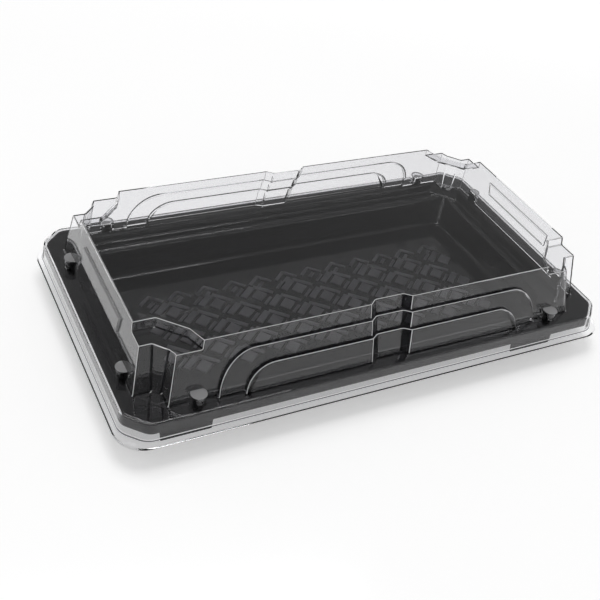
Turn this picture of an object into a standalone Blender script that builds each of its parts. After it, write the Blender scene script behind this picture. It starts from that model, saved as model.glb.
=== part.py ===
"""Takeaway sushi tray: a shallow black base and the clear lid that closes it.

Metres, +X along the long side, +Y to the back, +Z up, origin under the middle.
"""
import math

import bmesh
import bpy

MM = 0.001

# Base, millimetres: half sizes along X and Y, corner cut, corner radius, height
SHEET = 0.6
RIM_X = 115.0
RIM_Y = 63.8
RIM_Z = 19.0
SKIRT_FLARE = 0.5
SKIRT_Z = 14.4
FLANGE_IN_X = 106.4
FLANGE_IN_Y = 56.8
LEDGE_X = 105.2
LEDGE_Y = 55.2
LEDGE_Z = 14.4
WELL_X = 100.7
WELL_Y = 49.2
FLOOR_X = 97.5
FLOOR_Y = 45.3
FLOOR_Z = 0.6
# Two tabs that hang from the front skirt: their X spans, top, foot, taper and lean
TABS = ((-103.5, -81.7), (63.0, 86.0))
TAB_TOP_Z = 15.3
TAB_Z = 9.9
TAB_TAPER = 0.5
TAB_LEAN = 0.45

# Locating pegs of the base, and the caps of the lid that sit over them
PEG_R = 1.95
PEG_TOP = 23.0
PEG_SIDES = 16
CAP_R = 3.35
CAP_TOP = 24.4
CAP_SIDES = 20
PEGS = ((108.5, 36.2), (86.2, 58.8))

# Lid, millimetres
LID_GAP = 0.3
LID_SHEET = 0.6
FOOT_Z = 19.0
STEP_Z = 41.0
TOP_Z = 44.9
FOOT_X = 108.85
FOOT_Y = 57.9
STEP_X = 105.7
STEP_Y = 52.9
TOP_X = 105.0
TOP_Y = 52.1
# Corner notch of the wall: along Y from the corner, then three cuts along X
FOOT_NOTCH = (9.7, 7.3, 7.5, 10.8, 10.9)
STEP_NOTCH = (8.8, 5.3, 4.0, 10.1, 11.5)
TOP_NOTCH = (17.5, 9.1, 7.7, 19.2, 22.1)
# Middle groove of each long wall: outer and inner half width, depth
FOOT_GROOVE = (9.1, 5.9, 1.8)
STEP_GROOVE = (9.85, 6.7, 2.4)
# Arched steps of each long wall: step out, height, flat half length, half length
ARCHES = ((1.4, 38.4, 62.0, 77.4), (2.8, 31.2, 54.0, 66.4))
ARCH_STEPS = 8
# Stepped panel of each short wall: step out, low and high edge, half widths
PANEL = (0.8, 31.0, 38.1, 23.3, 24.1)
# Lid rim: how far each edge stands outside the base rim, corner cut and radius
LID_RIM = (1.1, 8.3, 6.0)
LID_CREASE = (1.9, 8.5, 8.0, 12.3)
LID_LIP = (4.0, 7.2, 12.0, 9.8)


# Helper forms: foot of the dome inside the rim, depth behind a wall, cutter overrun
DOME_LOW_Z = 17.5
SLAB_DEPTH = 8.0
CUTTER_REACH = 20.0
QUARTERS = ((1, 1), (-1, 1), (-1, -1), (1, -1))


def clear_scene():
    for item in list(bpy.data.objects):
        bpy.data.objects.remove(item)


def new_collection(name):
    collection = bpy.data.collections.new(name)
    bpy.context.scene.collection.children.link(collection)
    return collection


def mesh_object(name, points, faces, collection):
    mesh = bpy.data.meshes.new(name)
    mesh.from_pydata([(x * MM, y * MM, z * MM) for x, y, z in points], [], faces)
    shape = bmesh.new()
    shape.from_mesh(mesh)
    bmesh.ops.recalc_face_normals(shape, faces=shape.faces)
    shape.to_mesh(mesh)
    shape.free()
    item = bpy.data.objects.new(name, mesh)
    collection.objects.link(item)
    return item


def loft(name, rings, collection, open_end=False):
    """Skin between rings of equal point count, closed by a flat face at the ends."""
    count = len(rings[0])
    points = [point for ring in rings for point in ring]
    faces = []
    for level in range(len(rings) - 1):
        low = level * count
        for i in range(count):
            j = (i + 1) % count
            faces.append((low + i, low + j, low + count + j, low + count + i))
    last = (len(rings) - 1) * count
    faces.append(tuple(range(last, last + count)))
    if not open_end:
        faces.append(tuple(reversed(range(count))))
    return mesh_object(name, points, faces, collection)


def corner_loop(half_x, half_y, cut, radius, steps):
    """Rectangle whose corners are cut at 45 degrees, both ends of the cut rounded."""
    reach = radius * math.tan(math.pi / 8)
    first = (half_x, half_y - cut)
    second = (half_x - cut, half_y)
    starts = ((first[0] - radius, first[1] - reach), (second[0] - reach, second[1] - radius))
    quarter = []
    for index, (cx, cy) in enumerate(starts):
        for k in range(steps + 1):
            angle = math.pi / 4 * (index + k / steps)
            quarter.append((cx + radius * math.cos(angle), cy + radius * math.sin(angle)))
    mirrored = [(-x, y) for x, y in reversed(quarter)]
    turned = [(-x, -y) for x, y in quarter + mirrored]
    return quarter + mirrored + turned


def blend(first, second, share):
    return tuple(a + (b - a) * share for a, b in zip(first, second))


def soften(keys, steps):
    """Round each key section of a profile by its own reach, in three-number arcs."""
    result = [keys[0][0]]
    for before, this, after in zip(keys, keys[1:], keys[2:]):
        reach = this[1]
        run_in = math.dist((before[0][0], before[0][4]), (this[0][0], this[0][4]))
        run_out = math.dist((after[0][0], after[0][4]), (this[0][0], this[0][4]))
        start = blend(this[0], before[0], min(0.45, reach / run_in))
        end = blend(this[0], after[0], min(0.45, reach / run_out))
        for k in range(steps + 1):
            share = k / steps
            low = blend(start, this[0], share)
            high = blend(this[0], end, share)
            result.append(blend(low, high, share))
    result.append(keys[-1][0])
    return result


def rings_from(sections, steps):
    rings = []
    for half_x, half_y, cut, radius, z in sections:
        loop = corner_loop(half_x, half_y, cut, radius, steps)
        rings.append([(x, y, z) for x, y in loop])
    return rings


def inset(loop, distance):
    """Move every side of an anticlockwise loop inwards by the same distance."""
    result = []
    count = len(loop)
    for i in range(count):
        ax, ay = loop[i - 1]
        bx, by = loop[i]
        cx, cy = loop[(i + 1) % count]
        first = math.hypot(bx - ax, by - ay)
        second = math.hypot(cx - bx, cy - by)
        nx1, ny1 = -(by - ay) / first, (bx - ax) / first
        nx2, ny2 = -(cy - by) / second, (cx - bx) / second
        scale = distance / (1 + nx1 * nx2 + ny1 * ny2)
        result.append((bx + (nx1 + nx2) * scale, by + (ny1 + ny2) * scale))
    return result


def modify(item, kind, **settings):
    modifier = item.modifiers.new(kind.title(), kind)
    for key, value in settings.items():
        setattr(modifier, key, value)
    bpy.context.view_layer.update()
    graph = bpy.context.evaluated_depsgraph_get()
    mesh = bpy.data.meshes.new_from_object(item.evaluated_get(graph))
    item.modifiers.remove(modifier)
    old = item.data
    item.data = mesh
    bpy.data.meshes.remove(old)
    return item


def combine(item, other, operation):
    return modify(item, "BOOLEAN", operation=operation, object=other, solver="EXACT")


def material(name, colour, roughness, alpha):
    result = bpy.data.materials.new(name)
    result.use_nodes = True
    shader = result.node_tree.nodes["Principled BSDF"]
    shader.inputs["Base Color"].default_value = (*colour, 1.0)
    shader.inputs["Roughness"].default_value = roughness
    shader.inputs["Alpha"].default_value = alpha
    shader.inputs["IOR"].default_value = 1.55
    return result


def cylinder(name, place, radius, low, high, sides, collection):
    x, y = place
    rings = []
    for z in (low, high):
        ring = []
        for k in range(sides):
            angle = 2 * math.pi * k / sides
            ring.append((x + radius * math.cos(angle), y + radius * math.sin(angle), z))
        rings.append(ring)
    return loft(name, rings, collection)


def peg_places():
    places = []
    for x, y in PEGS:
        for side_x in (-1, 1):
            for side_y in (-1, 1):
                places.append((side_x * x, side_y * y))
    return places


def slab_ring(left, right, y, z):
    """Level section of a sheet that runs along X, its front at y."""
    return [(left, y, z), (right, y, z), (right, y + SHEET, z), (left, y + SHEET, z)]


def make_base(collection, cutters):
    keys = (
        ((RIM_X + SKIRT_FLARE, RIM_Y + SKIRT_FLARE, 8.3, 5.0, SKIRT_Z), 0),
        ((RIM_X, RIM_Y, 8.0, 5.0, RIM_Z), 0.8),
        ((FLANGE_IN_X, FLANGE_IN_Y, 8.0, 3.0, RIM_Z), 0.6),
        ((LEDGE_X, LEDGE_Y, 10.0, 3.0, LEDGE_Z), 0.7),
        ((WELL_X, WELL_Y, 0.9, 1.0, LEDGE_Z), 0.7),
        ((FLOOR_X, FLOOR_Y, 1.2, 1.6, FLOOR_Z), 1.6),
        ((FLOOR_X - 4.0, FLOOR_Y - 4.0, 1.2, 1.6, FLOOR_Z), 0),
    )
    sections = soften(keys, 2)
    base = loft("tray_base", rings_from(sections, 3), collection, open_end=True)
    modify(base, "SOLIDIFY", thickness=SHEET * MM, offset=-1.0, use_even_offset=True)

    top_y = -RIM_Y - SKIRT_FLARE * 0.8
    for index, (left, right) in enumerate(TABS):
        low = slab_ring(left + TAB_TAPER, right - TAB_TAPER, top_y - TAB_LEAN, TAB_Z)
        top = slab_ring(left, right, top_y, TAB_TOP_Z)
        combine(base, loft(f"tab_{index}", [low, top], cutters), "UNION")

    for index, place in enumerate(peg_places()):
        low = RIM_Z - SHEET / 2
        peg = cylinder(f"peg_{index}", place, PEG_R, low, PEG_TOP, PEG_SIDES, cutters)
        combine(base, peg, "UNION")
    return base


def wall_share(z):
    return (z - FOOT_Z) / (STEP_Z - FOOT_Z)


def wall_x(z):
    return FOOT_X + (STEP_X - FOOT_X) * wall_share(z)


def wall_y(z):
    return FOOT_Y + (STEP_Y - FOOT_Y) * wall_share(z)


def wall_loop(z):
    """Plan of the lid's wall at a height, carried on straight past foot and step."""
    share = wall_share(z)
    half_x = wall_x(z)
    half_y = wall_y(z)
    down, cut_1, low, cut_2, cut_3 = blend(FOOT_NOTCH, STEP_NOTCH, share)
    outer, inner, depth = blend(FOOT_GROOVE, STEP_GROOVE, share)
    quarter = [
        (half_x, half_y - down),
        (half_x - cut_1, half_y - down),
        (half_x - cut_2, half_y - low),
        (half_x - cut_3, half_y),
        (outer, half_y),
        (inner, half_y - depth),
    ]
    mirrored = [(-x, y) for x, y in reversed(quarter)]
    turned = [(-x, -y) for x, y in quarter + mirrored]
    return quarter + mirrored + turned


def raised(loop, z):
    return [(x, y, z) for x, y in loop]


def mirror_loop(loop, side_x, side_y):
    """The same loop in another quarter, kept anticlockwise."""
    result = [(x * side_x, y * side_y) for x, y in loop]
    if side_x * side_y < 0:
        result.reverse()
    return result


def cut_top_corners(dome, depth, cutters):
    """Take the step out of the dome's four top corners."""
    down, cut_1, lower, cut_2, cut_3 = TOP_NOTCH
    for index, (side_x, side_y) in enumerate(QUARTERS):
        sections = []
        for z, grow in ((STEP_Z - depth, 0.6), (TOP_Z + 4.0, -0.6)):
            half_x = TOP_X + grow
            half_y = TOP_Y + grow
            loop = [
                (half_x + CUTTER_REACH, half_y - down),
                (half_x + CUTTER_REACH, half_y + CUTTER_REACH),
                (half_x - cut_3, half_y + CUTTER_REACH),
                (half_x - cut_3, half_y),
                (half_x - cut_2, half_y - lower),
                (half_x - cut_1, half_y - down),
            ]
            loop = inset(loop, -depth)
            sections.append(raised(mirror_loop(loop, side_x, side_y), z))
        cutter = loft(f"{dome.name}_corner_{index}", sections, cutters)
        combine(dome, cutter, "DIFFERENCE")


def arch_slab(name, side, step, low, high, half_length, depth, cutters):
    """Slab that follows a long wall and its middle groove, a step further out."""
    sections = []
    for z in (low, high):
        wide, narrow, deep = blend(FOOT_GROOVE, STEP_GROOVE, wall_share(z))
        y = wall_y(z) + step
        loop = [
            (half_length, y - SLAB_DEPTH),
            (half_length, y),
            (wide, y),
            (narrow, y - deep),
            (-narrow, y - deep),
            (-wide, y),
            (-half_length, y),
            (-half_length, y - SLAB_DEPTH),
        ]
        sections.append(raised(mirror_loop(inset(loop, depth), 1, side), z))
    return loft(name, sections, cutters)


def arch_prism(name, side, crown, flat, end, depth, cutters):
    """Arch outline with quarter-ellipse shoulders, run out across a long wall."""
    curve = []
    for k in range(ARCH_STEPS + 1):
        angle = math.pi / 2 * k / ARCH_STEPS
        x = flat + (end - flat) * math.cos(angle)
        z = FOOT_Z + (crown - FOOT_Z) * math.sin(angle)
        curve.append((x, z))
    outline = [(-end, DOME_LOW_Z - 3.0), (end, DOME_LOW_Z - 3.0)] + curve
    outline += [(-x, z) for x, z in reversed(curve)]
    outline = inset(outline, depth)
    near = [(x, side * TOP_Y / 2, z) for x, z in outline]
    far = [(x, side * RIM_Y * 1.2, z) for x, z in outline]
    return loft(name, [near, far], cutters)


def add_arches(dome, depth, cutters):
    for side in (1, -1):
        for index, (step, crown, flat, end) in enumerate(ARCHES):
            low = DOME_LOW_Z + 0.3 * (index + 1)
            tag = f"{dome.name}_{index}_{side}"
            slab = arch_slab(
                f"slab_{tag}", side, step, low, crown + 2.0, end + 5.0, depth, cutters
            )
            arch = arch_prism(f"arch_{tag}", side, crown, flat, end, depth, cutters)
            combine(slab, arch, "INTERSECT")
            combine(dome, slab, "UNION")


def add_panels(dome, depth, cutters):
    step, bottom, top, half_low, half_high = PANEL
    for side in (1, -1):
        sections = []
        for z, half in ((bottom + depth, half_low - depth), (top - depth, half_high - depth)):
            x = wall_x(z) + step - depth
            loop = [(x - SLAB_DEPTH, -half), (x, -half), (x, half), (x - SLAB_DEPTH, half)]
            sections.append(raised(mirror_loop(loop, side, 1), z))
        panel = loft(f"{dome.name}_panel_{side}", sections, cutters)
        combine(dome, panel, "UNION")


def add_caps(dome, depth, cutters):
    low = DOME_LOW_Z + 0.9
    for index, place in enumerate(peg_places()):
        name = f"{dome.name}_cap_{index}"
        cap = cylinder(name, place, CAP_R - depth, low, CAP_TOP - depth, CAP_SIDES, cutters)
        combine(dome, cap, "UNION")


def make_dome(name, depth, collection, cutters):
    """The lid's closed outer form, or with a depth the space it leaves inside."""
    heights = (DOME_LOW_Z, STEP_Z, TOP_Z - depth)
    rings = [raised(inset(wall_loop(z), depth), z) for z in heights]
    dome = loft(name, rings, collection)
    cut_top_corners(dome, depth, cutters)
    add_arches(dome, depth, cutters)
    add_panels(dome, depth, cutters)
    add_caps(dome, depth, cutters)
    return dome


def rim_block(name, depth, collection):
    """The lid's flange, skirt and lip filled solid, or the space they cover."""
    out, cut, radius = LID_RIM
    crease_out, crease_cut, crease_radius, crease_z = LID_CREASE
    lip_out, lip_cut, lip_radius, lip_z = LID_LIP
    profile = [
        (0.0, RIM_Z + LID_GAP + LID_SHEET),
        (out, RIM_Z + LID_GAP + LID_SHEET),
        (crease_out, crease_z),
        (lip_out, lip_z),
    ]
    moved = []
    for before, this, after in zip(profile, profile[1:], profile[2:] + [None]):
        run = math.dist(before, this)
        nx1, nz1 = (before[1] - this[1]) / run, (this[0] - before[0]) / run
        if after is None:
            nx2, nz2 = nx1, nz1
        else:
            run = math.dist(this, after)
            nx2, nz2 = (this[1] - after[1]) / run, (after[0] - this[0]) / run
        scale = depth / (1 + nx1 * nx2 + nz1 * nz2)
        moved.append((this[0] - (nx1 + nx2) * scale, this[1] - (nz1 + nz2) * scale))
    if depth > 0:
        slope = (lip_out - crease_out) / (crease_z - lip_z)
        moved[2] = (moved[2][0] + 3.0 * slope, moved[2][1] - 3.0)
    corners = ((cut, radius), (crease_cut, crease_radius), (lip_cut, lip_radius))
    keys = []
    for (grow, z), (corner, arc), fillet in zip(moved, corners, (0.7, 0.9, 0)):
        keys.append(((RIM_X + grow, RIM_Y + grow, corner, arc, z), fillet))
    grow, z = moved[0]
    keys.insert(0, ((RIM_X + grow - 3.0, RIM_Y + grow - 3.0, cut, radius, z), 0))
    return loft(name, rings_from(soften(keys, 2), 3), collection)


def make_lid(collection, cutters):
    lid = make_dome("lid", 0.0, collection, cutters)
    combine(lid, rim_block("rim_outside", 0.0, cutters), "UNION")
    inside = make_dome("dome_inside", LID_SHEET, cutters, cutters)
    combine(inside, rim_block("rim_inside", LID_SHEET, cutters), "UNION")
    combine(lid, inside, "DIFFERENCE")
    return lid


clear_scene()
parts = new_collection("takeaway_sushi_tray")
helpers = new_collection("cutters")

base = make_base(parts, helpers)
base.data.materials.clear()
base.data.materials.append(material("black_plastic", (0.018, 0.018, 0.02), 0.28, 1.0))

lid = make_lid(parts, helpers)
lid.data.materials.clear()
lid.data.materials.append(material("clear_plastic", (0.93, 0.93, 0.96), 0.06, 0.25))

for helper in helpers.objects:
    helper.hide_render = True
    helper.display_type = "WIRE"
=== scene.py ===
import math

import bmesh
import bpy
from mathutils import Matrix, Vector


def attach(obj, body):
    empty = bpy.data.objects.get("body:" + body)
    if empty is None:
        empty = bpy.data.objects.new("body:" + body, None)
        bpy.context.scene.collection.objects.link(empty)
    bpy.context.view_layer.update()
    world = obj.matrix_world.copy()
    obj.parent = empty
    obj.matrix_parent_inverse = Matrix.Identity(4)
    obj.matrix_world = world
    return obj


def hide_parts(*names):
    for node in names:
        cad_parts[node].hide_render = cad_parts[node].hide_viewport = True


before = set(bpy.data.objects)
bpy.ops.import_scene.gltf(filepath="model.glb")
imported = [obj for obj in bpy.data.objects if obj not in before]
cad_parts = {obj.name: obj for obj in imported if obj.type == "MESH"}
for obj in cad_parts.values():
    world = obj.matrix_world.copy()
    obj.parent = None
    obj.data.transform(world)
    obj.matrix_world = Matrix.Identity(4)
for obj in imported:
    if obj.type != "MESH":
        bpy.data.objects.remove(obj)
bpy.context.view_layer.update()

MM = 0.001

# Sizes of the solids, millimetres
SHEET = 0.6
RIM_X = 115.0
RIM_Y = 63.8
RIM_Z = 19.0
SKIRT_FLARE = 0.5
SKIRT_Z = 14.4
FLANGE_IN_X = 106.4
FLANGE_IN_Y = 56.8
LEDGE_X = 105.2
LEDGE_Y = 55.2
LEDGE_Z = 14.4
WELL_X = 100.7
WELL_Y = 49.2
FLOOR_X = 97.5
FLOOR_Y = 45.3
FLOOR_Z = 0.6
TAB_Z = 9.9
TABS = ((-103.5, -81.7), (63.0, 86.0))
PEG_R = 1.95
PEG_TOP = 23.0
CAP_R = 3.35
CAP_TOP = 24.4
PEGS = ((108.5, 36.2), (86.2, 58.8))
LID_GAP = 0.3
LID_SHEET = 0.6
FOOT_Z = 19.0
STEP_Z = 41.0
TOP_Z = 44.9
FOOT_X = 108.85
FOOT_Y = 57.9
STEP_X = 105.7
STEP_Y = 52.9
TOP_X = 105.0
TOP_Y = 52.1
FOOT_NOTCH = (9.7, 7.3, 7.5, 10.8, 10.9)
STEP_NOTCH = (8.8, 5.3, 4.0, 10.1, 11.5)
TOP_NOTCH = (17.5, 9.1, 7.7, 19.2, 22.1)
FOOT_GROOVE = (9.1, 5.9, 1.8)
STEP_GROOVE = (9.85, 6.7, 2.4)
ARCHES = ((1.4, 38.4, 62.0, 77.4), (2.8, 31.2, 54.0, 66.4))
PANEL = (0.8, 31.0, 38.1, 23.3, 24.1)
LID_RIM = (1.1, 8.3, 6.0)
LID_CREASE = (1.9, 8.5, 8.0, 12.3)
LID_LIP = (4.0, 7.2, 12.0, 9.8)

# Material slots of the lid's sheet: clear, then painted highlight, painted shade, painted shadow line and painted
# sheen
CLEAR = 0
PAINTED_HIGHLIGHT = 1
PAINTED_SHADE = 2
PAINTED_SHADOW_LINE = 3
PAINTED_SHEEN = 4

# Woven relief of the floor, millimetres
WEAVE_X = 21.3
WEAVE_Y = 18.4
RELIEF = 0.45
PLATE_X = 86.0
PLATE_Y = 31.0
PLATE_RISE = 0.2

parts = bpy.data.collections.new("takeaway_sushi_tray")
bpy.context.scene.collection.children.link(parts)
helpers = bpy.data.collections.new("helpers")
bpy.context.scene.collection.children.link(helpers)


def mesh_object(name, points, faces, collection):
    mesh = bpy.data.meshes.new(name)
    mesh.from_pydata([(x * MM, y * MM, z * MM) for x, y, z in points], [], faces)
    shape = bmesh.new()
    shape.from_mesh(mesh)
    bmesh.ops.recalc_face_normals(shape, faces=shape.faces)
    shape.to_mesh(mesh)
    shape.free()
    item = bpy.data.objects.new(name, mesh)
    collection.objects.link(item)
    return item


def loft(name, rings, collection, open_end=False):
    count = len(rings[0])
    points = [point for ring in rings for point in ring]
    faces = []
    for level in range(len(rings) - 1):
        low = level * count
        for i in range(count):
            j = (i + 1) % count
            faces.append((low + i, low + j, low + count + j, low + count + i))
    last = (len(rings) - 1) * count
    faces.append(tuple(range(last, last + count)))
    if not open_end:
        faces.append(tuple(reversed(range(count))))
    return mesh_object(name, points, faces, collection)


def corner_loop(half_x, half_y, cut, radius, steps):
    reach = radius * math.tan(math.pi / 8)
    first = (half_x, half_y - cut)
    second = (half_x - cut, half_y)
    starts = ((first[0] - radius, first[1] - reach), (second[0] - reach, second[1] - radius))
    quarter = []
    for index, (cx, cy) in enumerate(starts):
        for k in range(steps + 1):
            angle = math.pi / 4 * (index + k / steps)
            quarter.append((cx + radius * math.cos(angle), cy + radius * math.sin(angle)))
    mirrored = [(-x, y) for x, y in reversed(quarter)]
    turned = [(-x, -y) for x, y in quarter + mirrored]
    return quarter + mirrored + turned


def blend(first, second, share):
    return tuple(a + (b - a) * share for a, b in zip(first, second))


def soften(keys, steps):
    result = [keys[0][0]]
    for before, this, after in zip(keys, keys[1:], keys[2:]):
        reach = this[1]
        run_in = math.dist((before[0][0], before[0][4]), (this[0][0], this[0][4]))
        run_out = math.dist((after[0][0], after[0][4]), (this[0][0], this[0][4]))
        start = blend(this[0], before[0], min(0.45, reach / run_in))
        end = blend(this[0], after[0], min(0.45, reach / run_out))
        for k in range(steps + 1):
            share = k / steps
            low = blend(start, this[0], share)
            high = blend(this[0], end, share)
            result.append(blend(low, high, share))
    result.append(keys[-1][0])
    return result


def rings_from(sections, steps):
    rings = []
    for half_x, half_y, cut, radius, z in sections:
        loop = corner_loop(half_x, half_y, cut, radius, steps)
        rings.append([(x, y, z) for x, y in loop])
    return rings


def inset(loop, distance):
    result = []
    count = len(loop)
    for i in range(count):
        ax, ay = loop[i - 1]
        bx, by = loop[i]
        cx, cy = loop[(i + 1) % count]
        first = math.hypot(bx - ax, by - ay)
        second = math.hypot(cx - bx, cy - by)
        nx1, ny1 = -(by - ay) / first, (bx - ax) / first
        nx2, ny2 = -(cy - by) / second, (cx - bx) / second
        scale = distance / (1 + nx1 * nx2 + ny1 * ny2)
        result.append((bx + (nx1 + nx2) * scale, by + (ny1 + ny2) * scale))
    return result


def modify(item, kind, **settings):
    modifier = item.modifiers.new(kind.title(), kind)
    for key, value in settings.items():
        setattr(modifier, key, value)
    bpy.context.view_layer.update()
    graph = bpy.context.evaluated_depsgraph_get()
    mesh = bpy.data.meshes.new_from_object(item.evaluated_get(graph))
    item.modifiers.remove(modifier)
    old = item.data
    item.data = mesh
    bpy.data.meshes.remove(old)
    return item


def combine(item, other, operation):
    modify(item, "BOOLEAN", operation=operation, object=other, solver="EXACT")
    mesh = other.data
    bpy.data.objects.remove(other)
    bpy.data.meshes.remove(mesh)
    return item


def cylinder(name, place, radius, low, high, sides, collection):
    x, y = place
    rings = []
    for z in (low, high):
        ring = []
        for k in range(sides):
            angle = 2 * math.pi * k / sides
            ring.append((x + radius * math.cos(angle), y + radius * math.sin(angle), z))
        rings.append(ring)
    return loft(name, rings, collection)


def peg_places():
    places = []
    for x, y in PEGS:
        for side_x in (-1, 1):
            for side_y in (-1, 1):
                places.append((side_x * x, side_y * y))
    return places


def make_base():
    keys = (
        ((RIM_X + SKIRT_FLARE, RIM_Y + SKIRT_FLARE, 8.3, 5.0, SKIRT_Z), 0),
        ((RIM_X, RIM_Y, 8.0, 5.0, RIM_Z), 0.8),
        ((FLANGE_IN_X, FLANGE_IN_Y, 8.0, 3.0, RIM_Z), 1.2),
        ((LEDGE_X, LEDGE_Y, 10.0, 3.0, LEDGE_Z), 0.7),
        ((WELL_X, WELL_Y, 0.9, 1.0, LEDGE_Z), 1.5),
        ((FLOOR_X, FLOOR_Y, 1.2, 1.6, FLOOR_Z), 1.6),
        ((FLOOR_X - 4.0, FLOOR_Y - 4.0, 1.2, 1.6, FLOOR_Z), 0),
    )
    sections = soften(keys, 5)
    base = loft("base_shell", rings_from(sections, 7), parts, open_end=True)
    modify(base, "SOLIDIFY", thickness=SHEET * MM, offset=-1.0, use_even_offset=True)
    for index, (left, right) in enumerate(TABS):
        top_y = RIM_Y + SKIRT_FLARE * 0.8
        low_y = RIM_Y + SKIRT_FLARE + 0.35
        taper = 0.5
        top = [
            (left, -top_y, SKIRT_Z + 0.9),
            (right, -top_y, SKIRT_Z + 0.9),
            (right, -top_y + SHEET, SKIRT_Z + 0.9),
            (left, -top_y + SHEET, SKIRT_Z + 0.9),
        ]
        low = [
            (left + taper, -low_y, TAB_Z),
            (right - taper, -low_y, TAB_Z),
            (right - taper, -low_y + SHEET, TAB_Z),
            (left + taper, -low_y + SHEET, TAB_Z),
        ]
        combine(base, loft(f"tab_{index}", [low, top], helpers), "UNION")
    for index, place in enumerate(peg_places()):
        peg = cylinder(f"peg_{index}", place, PEG_R, RIM_Z - SHEET / 2, PEG_TOP, 32, helpers)
        combine(base, peg, "UNION")
    return base


def wall_loop(z):
    share = (z - FOOT_Z) / (STEP_Z - FOOT_Z)
    half_x = FOOT_X + (STEP_X - FOOT_X) * share
    half_y = FOOT_Y + (STEP_Y - FOOT_Y) * share
    down, cut_1, low, cut_2, cut_3 = blend(FOOT_NOTCH, STEP_NOTCH, share)
    outer, inner, depth = blend(FOOT_GROOVE, STEP_GROOVE, share)
    quarter = [
        (half_x, half_y - down),
        (half_x - cut_1, half_y - down),
        (half_x - cut_2, half_y - low),
        (half_x - cut_3, half_y),
        (outer, half_y),
        (inner, half_y - depth),
    ]
    mirrored = [(-x, y) for x, y in reversed(quarter)]
    turned = [(-x, -y) for x, y in quarter + mirrored]
    return quarter + mirrored + turned


def wall_y(z):
    return FOOT_Y + (STEP_Y - FOOT_Y) * (z - FOOT_Z) / (STEP_Z - FOOT_Z)


def wall_x(z):
    return FOOT_X + (STEP_X - FOOT_X) * (z - FOOT_Z) / (STEP_Z - FOOT_Z)


def raised(loop, z):
    return [(x, y, z) for x, y in loop]


def mirror_loop(loop, side_x, side_y):
    result = [(x * side_x, y * side_y) for x, y in loop]
    if side_x * side_y < 0:
        result.reverse()
    return result


def make_dome(name, depth):
    low = FOOT_Z - 1.5
    high = TOP_Z - depth
    rings = [raised(inset(wall_loop(z), depth), z) for z in (low, high)]
    dome = loft(name, rings, helpers)

    down, cut_1, lower, cut_2, cut_3 = TOP_NOTCH
    for index, (side_x, side_y) in enumerate(((1, 1), (-1, 1), (-1, -1), (1, -1))):
        sections = []
        for z, grow in ((STEP_Z - depth, 0.6), (TOP_Z + 4.0, -0.6)):
            half_x = TOP_X + grow
            half_y = TOP_Y + grow
            loop = [
                (half_x + 20.0, half_y - down),
                (half_x + 20.0, half_y + 20.0),
                (half_x - cut_3, half_y + 20.0),
                (half_x - cut_3, half_y),
                (half_x - cut_2, half_y - lower),
                (half_x - cut_1, half_y - down),
            ]
            loop = inset(loop, -depth)
            sections.append(raised(mirror_loop(loop, side_x, side_y), z))
        combine(dome, loft(f"corner_{index}", sections, helpers), "DIFFERENCE")

    for side in (1, -1):
        for index, (step, crown, flat, end) in enumerate(ARCHES):
            sections = []
            for z in (low + 0.3 * (index + 1), crown + 2.0):
                share = (z - FOOT_Z) / (STEP_Z - FOOT_Z)
                wide, narrow, deep = blend(FOOT_GROOVE, STEP_GROOVE, share)
                y = wall_y(z) + step
                loop = [
                    (end + 5.0, y - 8.0),
                    (end + 5.0, y),
                    (wide, y),
                    (narrow, y - deep),
                    (-narrow, y - deep),
                    (-wide, y),
                    (-end - 5.0, y),
                    (-end - 5.0, y - 8.0),
                ]
                sections.append(raised(mirror_loop(inset(loop, depth), 1, side), z))
            slab = loft(f"slab_{index}", sections, helpers)
            curve = []
            for k in range(17):
                angle = math.pi / 2 * k / 16
                reach = end - flat
                rise = crown - FOOT_Z
                curve.append((flat + reach * math.cos(angle), FOOT_Z + rise * math.sin(angle)))
            outline = [(-end, low - 3.0), (end, low - 3.0)] + curve
            outline += [(-x, z) for x, z in reversed(curve)]
            outline = inset(outline, depth)
            near = [(x, side * 30.0, z) for x, z in outline]
            far = [(x, side * 80.0, z) for x, z in outline]
            combine(slab, loft(f"arch_{index}", [near, far], helpers), "INTERSECT")
            combine(dome, slab, "UNION")

    step, bottom, top, half_low, half_high = PANEL
    for side in (1, -1):
        sections = []
        for z, half in ((bottom + depth, half_low), (top - depth, half_high)):
            x = wall_x(z) + step - depth
            half -= depth
            loop = [(x - 6.0, -half), (x, -half), (x, half), (x - 6.0, half)]
            sections.append(raised(mirror_loop(loop, side, 1), z))
        combine(dome, loft("panel", sections, helpers), "UNION")

    for index, place in enumerate(peg_places()):
        cap = cylinder(
            f"cap_{index}", place, CAP_R - depth, low + 0.9, CAP_TOP - depth, 36, helpers
        )
        combine(dome, cap, "UNION")
    return dome


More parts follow.
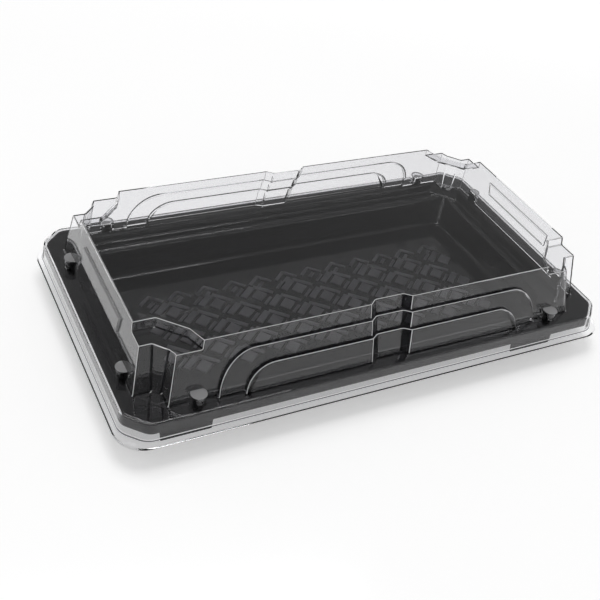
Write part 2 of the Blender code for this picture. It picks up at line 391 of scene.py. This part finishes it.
def rim_block(name, depth):
    out, cut, radius = LID_RIM
    crease_out, crease_cut, crease_radius, crease_z = LID_CREASE
    lip_out, lip_cut, lip_radius, lip_z = LID_LIP
    profile = [
        (0.0, RIM_Z + LID_GAP + LID_SHEET),
        (out, RIM_Z + LID_GAP + LID_SHEET),
        (crease_out, crease_z),
        (lip_out, lip_z),
    ]
    moved = []
    for before, this, after in zip(profile, profile[1:], profile[2:] + [None]):
        run = math.dist(before, this)
        nx1, nz1 = (before[1] - this[1]) / run, (this[0] - before[0]) / run
        if after is None:
            nx2, nz2 = nx1, nz1
        else:
            run = math.dist(this, after)
            nx2, nz2 = (this[1] - after[1]) / run, (after[0] - this[0]) / run
        scale = depth / (1 + nx1 * nx2 + nz1 * nz2)
        moved.append((this[0] - (nx1 + nx2) * scale, this[1] - (nz1 + nz2) * scale))
    if depth > 0:
        slope = (lip_out - crease_out) / (crease_z - lip_z)
        short = lip_z - moved[2][1]
        moved[2] = (moved[2][0] - short * slope, lip_z)
    corners = ((cut, radius), (crease_cut, crease_radius), (lip_cut, lip_radius))
    keys = []
    for (grow, z), (corner, arc), fillet in zip(moved, corners, (0.7, 0.9, 0)):
        keys.append(((RIM_X + grow, RIM_Y + grow, corner, arc, z), fillet))
    grow, z = moved[0]
    keys.insert(0, ((RIM_X + grow - 3.0, RIM_Y + grow - 3.0, cut, radius, z), 0))
    return loft(name, rings_from(soften(keys, 4), 7), helpers)


def near_cap(spot):
    """Whether a point lies on one of the small caps over the pegs."""
    away = min(math.dist(spot.xy, (x * MM, y * MM)) for x, y in peg_places())
    return away < (CAP_R + 0.6) * MM and spot.z < (CAP_TOP + 0.5) * MM


def on_panel(spot):
    """Whether a point lies on the low panel of a short wall."""
    step, bottom, top, half_low, half_high = PANEL
    return abs(spot.x) > 100.0 * MM and abs(spot.y) < (half_high + 1.0) * MM and spot.z < (top + 1.0) * MM


def round_folds(item, reach, above, bent_out):
    """Bevel the outward or the hollow folds above a height, and give the new faces the painted highlight (outward
    folds) or the painted shade (hollow folds).
    """
    shape = bmesh.new()
    shape.from_mesh(item.data)
    bmesh.ops.remove_doubles(shape, verts=shape.verts, dist=0.00001)
    bmesh.ops.dissolve_limit(
        shape, angle_limit=math.radians(0.6), verts=shape.verts, edges=shape.edges
    )
    folds = []
    for edge in shape.edges:
        high = min(vertex.co.z for vertex in edge.verts) > above * MM
        sharp = edge.is_convex == bent_out and edge.calc_face_angle(0) > math.radians(25)
        plain = all(near_cap(vertex.co) or on_panel(vertex.co) for vertex in edge.verts)
        if high and sharp and not plain:
            folds.append(edge)
    bmesh.ops.bevel(
        shape,
        geom=folds,
        offset=reach * MM,
        offset_type="OFFSET",
        segments=1,
        profile=0.5,
        affect="EDGES",
        clamp_overlap=False,
        material=PAINTED_HIGHLIGHT if bent_out else PAINTED_SHADE,
    )
    shape.to_mesh(item.data)
    shape.free()


def paint_crease_light_and_shade(item):
    """Give the crease above the lip a painted highlight as its light edge, a painted shadow line below and painted
    shade on the skirt above, which turns it grey.
    """
    crease_z = LID_CREASE[3]
    for face in item.data.polygons:
        rise = face.center.z / MM - crease_z
        if 0.0 < rise < 0.45:
            face.material_index = PAINTED_HIGHLIGHT
        elif -0.45 < rise < 0.0:
            face.material_index = PAINTED_SHADOW_LINE
        elif 0.45 < rise < 6.0 and abs(face.normal.z) < 0.5:
            face.material_index = PAINTED_SHADE


def paint_step_shade(item):
    """Paint shade on the arches' narrow steps and the groove's slants on the front wall, as dark lines."""
    wide = max(FOOT_GROOVE[0], STEP_GROOVE[0]) + 0.5
    for face in item.data.polygons:
        x, y, z = (part / MM for part in face.center)
        # Hollow folds high on the long walls: painted shadow lines on the front wall, plain clear sheet on the back
        # wall.
        if face.material_index == PAINTED_SHADE and abs(y) > 40.0 and z > FOOT_Z + 1.0:
            face.material_index = PAINTED_SHADOW_LINE if y < 0 else CLEAR
        if face.material_index != CLEAR or y > -45.0 or z < FOOT_Z + 1.0:
            continue
        step = abs(face.normal.y) < 0.15 and z < STEP_Z - 1.0 and abs(x) < ARCHES[0][3] + 1.0
        slant = abs(face.normal.x) > 0.3 and abs(x) < wide
        if step or slant:
            face.material_index = PAINTED_SHADOW_LINE


def paint_cap_and_panel_sheen(item):
    """Paint a faint grey sheen on the caps' tops and the panels' narrow sides, standing in for the light they
    reflect.
    """
    for face in item.data.polygons:
        spot = face.center
        if near_cap(spot) and abs(face.normal.z) > 0.9 and spot.z > RIM_Z * MM:
            face.material_index = PAINTED_SHEEN
        elif on_panel(spot) and spot.z > (PANEL[1] - 1.0) * MM and abs(face.normal.x) < 0.5:
            face.material_index = PAINTED_SHEEN


def open_bottom(shape, z):
    caps = []
    for face in shape.faces:
        if all(abs(vertex.co.z - z * MM) < 0.000001 for vertex in face.verts):
            caps.append(face)
    bmesh.ops.delete(shape, geom=caps, context="FACES")


def make_lid():
    """The lid as one closed sheet: its outside, its inside and the edge between them."""
    lid = make_dome("lid_shell", 0.0)
    combine(lid, rim_block("rim_outside", 0.0), "UNION")
    inside = make_dome("dome_inside", LID_SHEET)
    combine(inside, rim_block("rim_inside", LID_SHEET), "UNION")
    # Slot 0 is the clear sheet; slots 1 to 4 are painted light: a pale, mostly opaque painted highlight, a darker
    # painted shade, a near-black painted shadow line and a faintly pale painted sheen.
    lid_shaders = (
        clear_plastic("clear_plastic", 1.0, 0.98, 0.55),
        clear_plastic("painted_highlight_plastic", 0.15, 0.98, 0.55),
        clear_plastic("painted_shade_plastic", 1.0, 0.6, 0.55),
        clear_plastic("painted_shadow_line_plastic", 1.0, 0.07, 0.05),
        clear_plastic("painted_sheen_plastic", 0.65, 0.98, 0.55),
    )
    for item in (lid, inside):
        item.data.materials.clear()
        for lid_shader in lid_shaders:
            item.data.materials.append(lid_shader)
    round_folds(lid, 0.45, RIM_Z + LID_GAP + LID_SHEET - 0.05, False)
    round_folds(lid, 0.17, RIM_Z + LID_GAP + LID_SHEET - 0.05, True)
    round_folds(inside, 0.3, RIM_Z + LID_GAP - 0.05, False)
    round_folds(inside, 0.15, RIM_Z + LID_GAP - 0.05, True)
    paint_crease_light_and_shade(lid)
    paint_step_shade(lid)
    paint_cap_and_panel_sheen(lid)
    # On the inner sheet, outward folds along the front wall get painted shadow lines; every other inner face goes
    # back to clear sheet.
    for face in inside.data.polygons:
        if face.material_index == PAINTED_HIGHLIGHT and face.center.y < -45.0 * MM:
            face.material_index = PAINTED_SHADOW_LINE
        else:
            face.material_index = CLEAR
    shape = bmesh.new()
    shape.from_mesh(inside.data)
    bmesh.ops.reverse_faces(shape, faces=shape.faces)
    shape.from_mesh(lid.data)
    open_bottom(shape, LID_LIP[3])
    rims = [edge for edge in shape.edges if len(edge.link_faces) == 1]
    bmesh.ops.bridge_loops(shape, edges=rims)
    shape.to_mesh(lid.data)
    shape.free()
    bpy.data.objects.remove(inside)
    for collection in list(lid.users_collection):
        collection.objects.unlink(lid)
    parts.objects.link(lid)
    return lid


def smooth(item, degrees):
    """Round the small faces of fillets and corners, and leave the broad walls flat."""
    item.data.shade_smooth()
    item.data.set_sharp_from_angle(angle=math.radians(degrees))
    for face in item.data.polygons:
        face.use_smooth = face.area < 12.0 * MM * MM


def bar(points, faces, centre, length, width, turn, low, high, draft=0.25):
    """A raised bar with sloping sides, added to a growing mesh."""
    cx, cy = centre
    cos, sin = math.cos(turn), math.sin(turn)
    start = len(points)
    for z, shrink in ((low, -draft), (high - 0.12, 0.0), (high, 0.16)):
        for sx, sy in ((-1, -1), (1, -1), (1, 1), (-1, 1)):
            x = sx * (length / 2 - shrink)
            y = sy * (width / 2 - shrink)
            points.append((cx + x * cos - y * sin, cy + x * sin + y * cos, z))
    for level in (0, 4):
        for i in range(4):
            j = (i + 1) % 4
            a = start + level
            faces.append((a + i, a + j, a + 4 + j, a + 4 + i))
    faces.append(tuple(start + 8 + i for i in range(4)))
    faces.append(tuple(start + i for i in reversed(range(4))))


def make_weave():
    """Raised bars of the basket weave that fills the middle of the floor."""
    points = []
    faces = []
    rise = math.atan2(WEAVE_Y, WEAVE_X)
    low = FLOOR_Z - 0.1
    high = FLOOR_Z + PLATE_RISE + RELIEF
    cell = (
        (0.0, 0.0, 6.6, 5.2, 1, 1.0),
        (2.6, -4.4, 6.6, 1.3, 1, 0.8),
        (6.2, -5.4, 9.2, 3.0, 1, 1.0),
        (-7.0, -5.4, 10.0, 2.1, -1, 0.8),
        (-4.3, 4.6, 4.6, 1.6, 1, 0.7),
    )
    for i in range(-12, 13):
        for j in range(-12, 13):
            x0 = 59.8 + WEAVE_X / 2 * (i + j)
            y0 = 13.8 + WEAVE_Y / 2 * (i - j)
            for dx, dy, length, width, lean, share in cell:
                x = x0 + dx
                y = y0 + dy
                if abs(x) > PLATE_X - 4.5 or y > 20.5 or y < -27.0:
                    continue
                top = FLOOR_Z + PLATE_RISE + RELIEF * share
                bar(points, faces, (x, y), length, width, rise * lean, low, top)
    for k in range(-6, 6):
        x0 = 6.6 + 13.8 * k
        y0 = 24.6
        for dx, dy, length, width, lean in (
            (-2.6, 0.2, 7.2, 1.5, 1),
            (2.9, 0.5, 7.6, 1.5, -1),
            (-0.2, -3.0, 4.4, 1.5, 1),
        ):
            bar(points, faces, (x0 + dx, y0 + dy), length, width, rise * lean, low, high)
    return mesh_object("floor_weave", points, faces, parts)


def make_plate():
    keys = (
        ((PLATE_X, PLATE_Y, 5.0, 8.0, FLOOR_Z - 0.1), 0),
        ((PLATE_X - 0.3, PLATE_Y - 0.3, 5.0, 8.0, FLOOR_Z + PLATE_RISE), 0.1),
        ((PLATE_X - 2.0, PLATE_Y - 2.0, 5.0, 8.0, FLOOR_Z + PLATE_RISE), 0),
    )
    return loft("floor_plate", rings_from(soften(keys, 2), 7), parts)


def shader_of(name):
    result = bpy.data.materials.new(name)
    result.use_nodes = True
    tree = result.node_tree
    return result, tree, tree.nodes["Principled BSDF"]


def noise(tree, scale, detail):
    place = tree.nodes.new("ShaderNodeTexCoord")
    texture = tree.nodes.new("ShaderNodeTexNoise")
    texture.inputs["Scale"].default_value = scale
    texture.inputs["Detail"].default_value = detail
    tree.links.new(place.outputs["Object"], texture.inputs["Vector"])
    return texture.outputs["Fac"]


def ramp(tree, source, stops):
    node = tree.nodes.new("ShaderNodeValToRGB")
    node.color_ramp.elements[0].position = stops[0][0]
    node.color_ramp.elements[0].color = stops[0][1]
    node.color_ramp.elements[1].position = stops[1][0]
    node.color_ramp.elements[1].color = stops[1][1]
    tree.links.new(source, node.inputs["Fac"])
    return node.outputs["Color"]


def span(tree, source, low, high):
    node = tree.nodes.new("ShaderNodeMapRange")
    node.inputs["To Min"].default_value = low
    node.inputs["To Max"].default_value = high
    tree.links.new(source, node.inputs["Value"])
    return node.outputs["Result"]


def bump(tree, source, strength, distance):
    node = tree.nodes.new("ShaderNodeBump")
    node.inputs["Strength"].default_value = strength
    node.inputs["Distance"].default_value = distance
    tree.links.new(source, node.inputs["Height"])
    return node.outputs["Normal"]


def black_plastic(name, low, high, rough_low, rough_high):
    result, tree, shader = shader_of(name)
    mottle = noise(tree, 90.0, 3.0)
    colours = ramp(tree, mottle, ((0.3, (*low, 1.0)), (0.7, (*high, 1.0))))
    tree.links.new(colours, shader.inputs["Base Color"])
    tree.links.new(span(tree, noise(tree, 35.0, 2.0), rough_low, rough_high), shader.inputs["Roughness"])
    ripples = noise(tree, 55.0, 1.0)
    tree.links.new(bump(tree, ripples, 0.05, 0.0006), shader.inputs["Normal"])
    shader.inputs["IOR"].default_value = 1.55
    return result


def clear_plastic(name, clearness, tone, shine):
    result, tree, shader = shader_of(name)
    tint = noise(tree, 12.0, 1.0)
    low = (tone - 0.005, tone - 0.005, tone + 0.005, 1.0)
    high = (tone + 0.005, tone + 0.005, tone + 0.015, 1.0)
    colours = ramp(tree, tint, ((0.3, low), (0.7, high)))
    tree.links.new(colours, shader.inputs["Base Color"])
    tree.links.new(span(tree, noise(tree, 30.0, 1.0), 0.0, 0.03), shader.inputs["Roughness"])
    tree.links.new(bump(tree, noise(tree, 25.0, 1.0), 0.05, 0.0006), shader.inputs["Normal"])
    shader.inputs["IOR"].default_value = 1.5
    shader.inputs["Transmission Weight"].default_value = clearness
    shader.inputs["Specular Tint"].default_value = (shine, shine, shine, 1.0)
    return result


def floor_paint():
    result, tree, shader = shader_of("studio_floor")
    tone = noise(tree, 3.0, 1.0)
    colours = ramp(
        tree, tone, ((0.3, (0.93, 0.93, 0.93, 1.0)), (0.7, (0.95, 0.95, 0.95, 1.0)))
    )
    tree.links.new(colours, shader.inputs["Base Color"])
    shader.inputs["Roughness"].default_value = 0.12
    shader.inputs["Emission Color"].default_value = (1.0, 1.0, 1.0, 1.0)
    shader.inputs["Emission Strength"].default_value = 0.42
    return result


base = make_base()
smooth(base, 35)
weave = make_weave()
plate = make_plate()
smooth(plate, 35)
lid = make_lid()
smooth(lid, 35)

base.data.materials.clear()
base.data.materials.append(black_plastic("black_plastic", (0.007, 0.007, 0.008), (0.011, 0.011, 0.012), 0.06, 0.12))
# Relief bars: a rougher copy of the tray's black plastic, painted several times lighter as a painted sheen for the
# light their raised tops catch.
relief_sheen_plastic = black_plastic("black_relief_painted_sheen", (0.056, 0.056, 0.061), (0.080, 0.080, 0.086), 0.34, 0.44)
weave.data.materials.clear()
weave.data.materials.append(relief_sheen_plastic)
plate.data.materials.clear()
plate.data.materials.append(base.data.materials[0])

for item in (base, weave, plate):
    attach(item, "root")
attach(lid, "root")
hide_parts("tray_base")
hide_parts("lid")

floor_mesh = bpy.data.meshes.new("studio_floor")
reach = 6.0
floor_mesh.from_pydata(
    [(-reach, -reach, 0), (reach, -reach, 0), (reach, reach, 0), (-reach, reach, 0)],
    [],
    [(0, 1, 2, 3)],
)
studio_floor = bpy.data.objects.new("studio_floor", floor_mesh)
studio_floor.data.materials.append(floor_paint())
bpy.context.scene.collection.objects.link(studio_floor)

def studio_world():
    """Pale walls near the horizon, a dark band above them and a pale ceiling."""
    world = bpy.data.worlds.new("studio")
    world.use_nodes = True
    tree = world.node_tree
    place = tree.nodes.new("ShaderNodeTexCoord")
    split = tree.nodes.new("ShaderNodeSeparateXYZ")
    tree.links.new(place.outputs["Generated"], split.inputs["Vector"])
    tones = tree.nodes.new("ShaderNodeValToRGB")
    stops = ((0.0, 1.0), (0.26, 1.0), (0.40, 0.30), (0.80, 0.30), (0.92, 0.5))
    while len(tones.color_ramp.elements) < len(stops):
        tones.color_ramp.elements.new(0.5)
    for element, (height, tone) in zip(tones.color_ramp.elements, stops):
        element.position = height
        element.color = (tone, tone, tone, 1.0)
    tree.links.new(split.outputs["Z"], tones.inputs["Fac"])
    tree.links.new(tones.outputs["Color"], tree.nodes["Background"].inputs["Color"])
    tree.nodes["Background"].inputs["Strength"].default_value = 0.8
    bpy.context.scene.world = world


studio_world()


def lamp(name, place, target, size, power):
    data = bpy.data.lights.new(name, "AREA")
    data.shape = "RECTANGLE"
    data.size = size[0]
    data.size_y = size[1]
    data.energy = power
    item = bpy.data.objects.new(name, data)
    item.location = place
    item.rotation_mode = "QUATERNION"
    item.rotation_quaternion = (Vector(target) - Vector(place)).to_track_quat("-Z", "Y")
    bpy.context.scene.collection.objects.link(item)
    return item


lamp("key", (0.15, 0.6, 2.6), (0.0, 0.0, 0.0), (1.6, 1.6), 24.0)

azimuth = math.radians(-32.75)
elevation = math.radians(38.48)
roll = math.radians(10.36)
back = Vector(
    (
        math.sin(azimuth) * math.cos(elevation),
        -math.cos(azimuth) * math.cos(elevation),
        math.sin(elevation),
    )
)
level = Vector((math.cos(azimuth), math.sin(azimuth), 0.0))
upright = back.cross(level)
right = math.cos(roll) * level + math.sin(roll) * upright
up = -math.sin(roll) * level + math.cos(roll) * upright
camera_data = bpy.data.cameras.new("camera")
camera_data.lens = 55.93
camera_data.sensor_width = 36.0
camera_data.shift_x = -0.003
camera_data.clip_start = 0.01
camera = bpy.data.objects.new("camera", camera_data)
turn = Matrix((right, up, back)).transposed()
camera.rotation_mode = "QUATERNION"
camera.rotation_quaternion = turn.to_quaternion()
camera.location = (-0.1952, -0.2876, 0.2778)
bpy.context.scene.collection.objects.link(camera)
bpy.context.scene.camera = camera

bpy.context.scene.view_settings.view_transform = "Standard"
